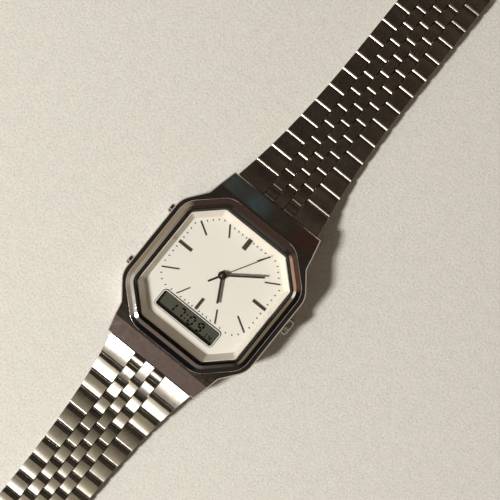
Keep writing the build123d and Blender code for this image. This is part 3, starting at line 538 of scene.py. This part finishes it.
def rounded_rectangle(half_x, half_y, radius):
    points = []
    corners = ((half_x, half_y, 0), (-half_x, half_y, 90), (-half_x, -half_y, 180), (half_x, -half_y, 270))
    for x, y, start in corners:
        centre = Vector((x - math.copysign(radius, x), y - math.copysign(radius, y)))
        for step in range(CORNER_STEPS + 1):
            turn = math.radians(start + 90 * step / CORNER_STEPS)
            points.append(centre + radius * Vector((math.cos(turn), math.sin(turn))))
    return points


def window_line(maker):
    """The pale line round the window, a flat closed band on top of the display's dark border."""
    low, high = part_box("display_frame")
    middle_y = (low.y + high.y) / 2
    half_x = (high.x - low.x) / 2 - LINE_INSET
    half_y = (high.y - low.y) / 2 - LINE_INSET
    outer = rounded_rectangle(half_x, half_y, LINE_CORNER)
    inner = rounded_rectangle(half_x - LINE_WIDTH, half_y - LINE_WIDTH, LINE_CORNER - LINE_WIDTH)
    base = high.z
    top = base + LINE_HEIGHT
    rings = []
    for points, z in ((outer, base), (outer, top), (inner, top), (inner, base)):
        rings.append([maker.verts.new((p.x, p.y + middle_y, z)) for p in points])
    for ring, following in zip(rings, rings[1:] + rings[:1]):
        walls(maker, ring, following)


def hub_cap(maker):
    """The small domed end of the second hand's arbor."""
    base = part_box("second_hand")[1].z
    axis = Vector((0, AXIS_Y))
    rings = []
    for radius, rise in CAP_PROFILE[:-1]:
        circle = oval(axis, Vector((radius, 0)), Vector((0, radius)), CAP_SIDES)
        rings.append([maker.verts.new((x, y, base + rise)) for x, y in circle])
    tip = maker.verts.new((0, AXIS_Y, base + CAP_PROFILE[-1][1]))
    maker.faces.new(rings[0][::-1])
    for lower, upper in zip(rings, rings[1:]):
        walls(maker, lower, upper)
    last = rings[-1]
    for i in range(CAP_SIDES):
        maker.faces.new((last[i], last[(i + 1) % CAP_SIDES], tip))


def dial_furniture():
    ink = lacquer("print_ink", (0.06, 0.05, 0.045), 0.4, metallic=0.0)
    new_piece("minute_dots", minute_dots, "case", ink)
    black = lacquer("display_ink", (0.003, 0.003, 0.002), 0.2, metallic=0.0)
    new_piece("display_digits", digits, "case", black)
    pale = lacquer("pale_line", (0.85, 0.83, 0.78), 0.35, metallic=0.0)
    new_piece("window_line", window_line, "case", pale)
    rose = metal("hub_metal", (0.17, 0.10, 0.085), 0.32)
    new_piece("hub_cap", hub_cap, "second_hand", rose)


# Floor, light and camera

def paper():
    """Matt paper: mottled, fibrous and grained, with a few dark specks."""
    surface = Surface("paper", FLOOR_COLOUR, 0.0, 0.85)
    fibre = surface.noise(1.6, detail=6.0, rough=0.7)
    mottle = surface.noise(0.45, detail=4.0, rough=0.6)
    speck = surface.noise(0.9, detail=2.0)
    grain = surface.noise(2.4, rough=0.75)
    dark_grain = surface.spread(grain, (0.36, 0.5), (0.55, 0))
    tone = surface.blend(mottle, WIDE, shade(FLOOR_COLOUR, 0.93), shade(FLOOR_COLOUR, 1.05))
    tone = surface.blend(fibre, MIDDLE, tone, shade(FLOOR_COLOUR, 1.1), most=0.6)
    tone = surface.mix(dark_grain, tone, shade(FLOOR_COLOUR, 0.68))
    tone = surface.blend(grain, (0.52, 0.66), tone, shade(FLOOR_COLOUR, 1.24), most=0.5)
    surface.paint(surface.blend(speck, (0.74, 0.78), tone, shade(FLOOR_COLOUR, 0.55), most=0.4))
    surface.bump(fibre, FLOOR_RELIEF, strength=0.6)
    return surface.material


def floor():
    mesh = bpy.data.meshes.new("floor")
    half = FLOOR_HALF
    corners = [(-half, -half, 0), (half, -half, 0), (half, half, 0), (-half, half, 0)]
    mesh.from_pydata(corners, [], [(0, 1, 2, 3)])
    plane = bpy.data.objects.new("floor", mesh)
    bpy.context.scene.collection.objects.link(plane)
    mesh.materials.append(paper())


def world_light():
    """A dim room with soft patches, each mixed over the ones before it."""
    world = bpy.data.worlds.new("room")
    bpy.context.scene.world = world
    world.use_nodes = True
    tree = world.node_tree
    place = tree.nodes.new("ShaderNodeTexCoord")
    colour = None
    for middle, radius, soft_edge, patch_colour in ROOM_PATCHES:
        toward = tree.nodes.new("ShaderNodeVectorMath")
        toward.operation = "DOT_PRODUCT"
        toward.inputs[1].default_value = Vector(middle).normalized()
        tree.links.new(place.outputs["Generated"], toward.inputs[0])
        share = tree.nodes.new("ShaderNodeMapRange")
        share.interpolation_type = "SMOOTHSTEP"
        share.inputs["From Min"].default_value = math.cos(math.radians(radius + soft_edge))
        share.inputs["From Max"].default_value = math.cos(math.radians(max(0, radius - soft_edge)))
        tree.links.new(toward.outputs["Value"], share.inputs["Value"])
        mix = tree.nodes.new("ShaderNodeMix")
        mix.data_type = "RGBA"
        tree.links.new(share.outputs["Result"], mix.inputs["Factor"])
        if colour:
            tree.links.new(colour, mix.inputs[6])
        else:
            mix.inputs[6].default_value = (*ROOM_COLOUR, 1)
        mix.inputs[7].default_value = (*patch_colour, 1)
        colour = mix.outputs[2]
    tree.links.new(colour, tree.nodes["Background"].inputs["Color"])


def key_light():
    lamp = bpy.data.lights.new("key", "AREA")
    lamp.shape = "DISK"
    lamp.size = KEY_SIZE
    lamp.energy = KEY_POWER
    lamp.color = KEY_COLOUR
    holder = bpy.data.objects.new("key", lamp)
    holder.location = KEY_DIRECTION.normalized() * KEY_DISTANCE
    holder.rotation_euler = KEY_DIRECTION.to_track_quat("Z", "Y").to_euler()
    bpy.context.scene.collection.objects.link(holder)


def camera():
    lens = bpy.data.cameras.new("camera")
    lens.lens = CAMERA_LENS
    lens.sensor_width = SENSOR_WIDTH
    lens.clip_start = CAMERA_NEAR
    holder = bpy.data.objects.new("camera", lens)
    holder.location = (CAMERA_X, CAMERA_Y, CAMERA_HEIGHT)
    holder.rotation_euler = (0, 0, math.radians(CAMERA_TURN))
    bpy.context.scene.collection.objects.link(holder)
    bpy.context.scene.camera = holder


camera()
dress_all()
dial_furniture()
floor()
world_light()
key_light()
bpy.context.scene.view_settings.view_transform = "Standard"
